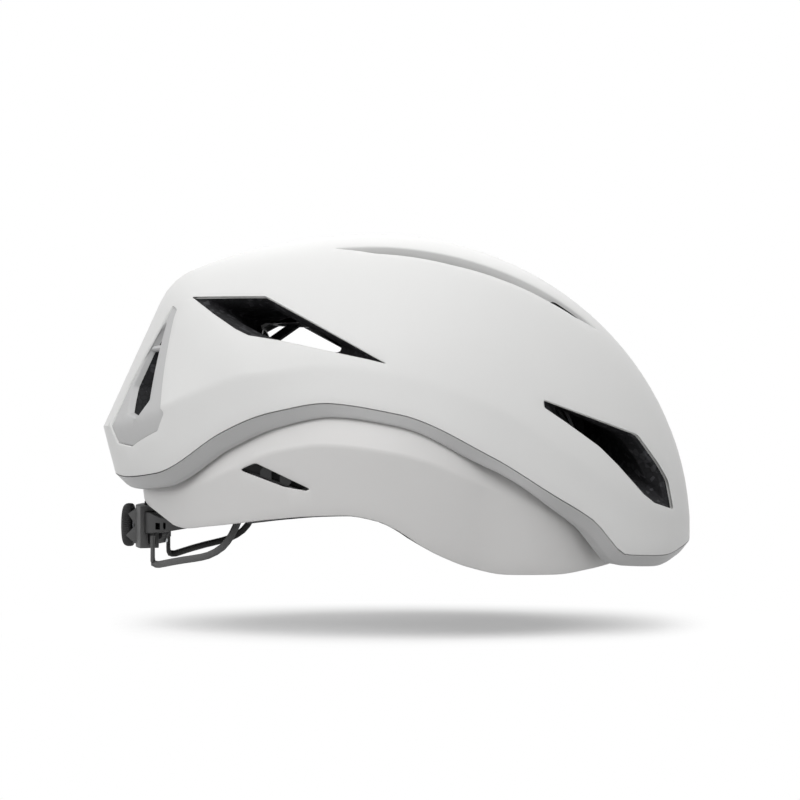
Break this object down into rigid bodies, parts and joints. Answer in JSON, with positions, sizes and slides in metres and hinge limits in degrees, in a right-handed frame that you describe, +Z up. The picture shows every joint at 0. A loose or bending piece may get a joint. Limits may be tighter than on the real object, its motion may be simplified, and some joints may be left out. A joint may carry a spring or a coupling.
{
  "type": "road bike helmet",
  "caption": "Vented road cycling helmet whose outer liner turns on a ball-shaped inner liner, with a rear dial fit system and wire cradle.",
  "frame": {"origin": "on the ground under the middle of the helmet's length and width, with the helmet standing on its rim and cradle", "axes": "+X to the front, +Y to the rider's left, +Z up"},
  "size_m": [0.286, 0.2036, 0.1609],
  "materials": {
    "white_shell": "matt white lacquered polycarbonate skin",
    "lower_white_shell": "matt white polycarbonate skin",
    "charcoal_foam": "charcoal expanded bead foam with a fine speckle",
    "grey_edge": "matt grey moulded edge",
    "exhaust_grey": "satin light grey moulding",
    "liner_plastic": "smooth low-friction polycarbonate",
    "black_elastomer": "soft black elastomer",
    "black_plastic": "black moulded nylon",
    "housing_grey": "mid grey moulded nylon",
    "wire_grey": "satin grey moulded strip",
    "wire_black": "black moulded strip",
    "pad_fabric": "black knitted cover over soft foam",
    "steel": "small bright screws"
  },
  "bodies": {
    "inner_liner": {"slip_dome": "liner_plastic", "inner_liner_foam": "charcoal_foam", "lower_shell": "lower_white_shell", "lower_vent_grilles": "black_plastic", "vent_bridges": "charcoal_foam", "brow_pad": "pad_fabric", "crown_pads": "pad_fabric", "side_pads": "pad_fabric", "rear_pads": "pad_fabric", "strap_anchors": "black_plastic", "height_ladder": "black_plastic"},
    "front_tether_set": {"front_tethers": "black_elastomer"},
    "rear_tether_set": {"rear_tethers": "black_elastomer"},
    "outer_helmet": {"outer_shell": "white_shell", "outer_liner_foam": "charcoal_foam", "outer_edge_trim": "grey_edge", "exhaust_surrounds": "exhaust_grey", "slip_socket": "liner_plastic"},
    "cradle": {"height_slider": "black_plastic", "yoke_housing": "housing_grey", "yoke_cover": "housing_grey", "yoke_arms": "black_plastic", "cover_screws": "steel", "detent_spring": "steel", "left_wire_loop": "wire_black", "right_wire_loop": "wire_grey", "occipital_pads": "pad_fabric"},
    "dial": {"dial_rim": "black_plastic", "dial_core": "housing_grey", "pinion": "steel", "dial_screw": "steel"},
    "left_fit_band": {"left_band": "black_plastic"},
    "right_fit_band": {"right_band": "black_plastic"}
  },
  "joints": [
    {"name": "slip_pitch", "type": "hinge", "parent": "inner_liner", "child": "front_tether_set", "pos_m": [-0.013, 0, 0.022], "axis": [0, 1, 0], "range_deg": [-3, 3], "stiffness_Nm_per_rad": 5},
    {"name": "slip_yaw", "type": "hinge", "parent": "front_tether_set", "child": "rear_tether_set", "pos_m": [-0.013, 0, 0.022], "axis": [0, 0, 1], "range_deg": [-3, 3], "stiffness_Nm_per_rad": 5},
    {"name": "slip_roll", "type": "hinge", "parent": "rear_tether_set", "child": "outer_helmet", "pos_m": [-0.013, 0, 0.022], "axis": [1, 0, 0], "range_deg": [-3, 3], "stiffness_Nm_per_rad": 5},
    {"name": "cradle_height", "type": "slide", "parent": "inner_liner", "child": "cradle", "axis": [0, 0, 1], "range_m": [-0.02, 0]},
    {"name": "fit_dial", "type": "hinge", "parent": "cradle", "child": "dial", "pos_m": [-0.1298, 0, 0.0186], "axis": [1, 0, 0], "range_deg": [-110, 110]},
    {"name": "left_band_slide", "type": "hinge", "parent": "cradle", "child": "left_fit_band", "pos_m": [-0.062, 0, 0.0186], "axis": [0, 0, 1], "range_deg": [-7.31, 7.31]},
    {"name": "right_band_slide", "type": "hinge", "parent": "cradle", "child": "right_fit_band", "pos_m": [-0.062, 0, 0.0186], "axis": [0, 0, 1], "range_deg": [-7.13, 7.13]}
  ],
  "couplings": [
    {"joint": "left_band_slide", "follows": "fit_dial", "ratio": 0.06639},
    {"joint": "right_band_slide", "follows": "fit_dial", "ratio": -0.064777}
  ]
}
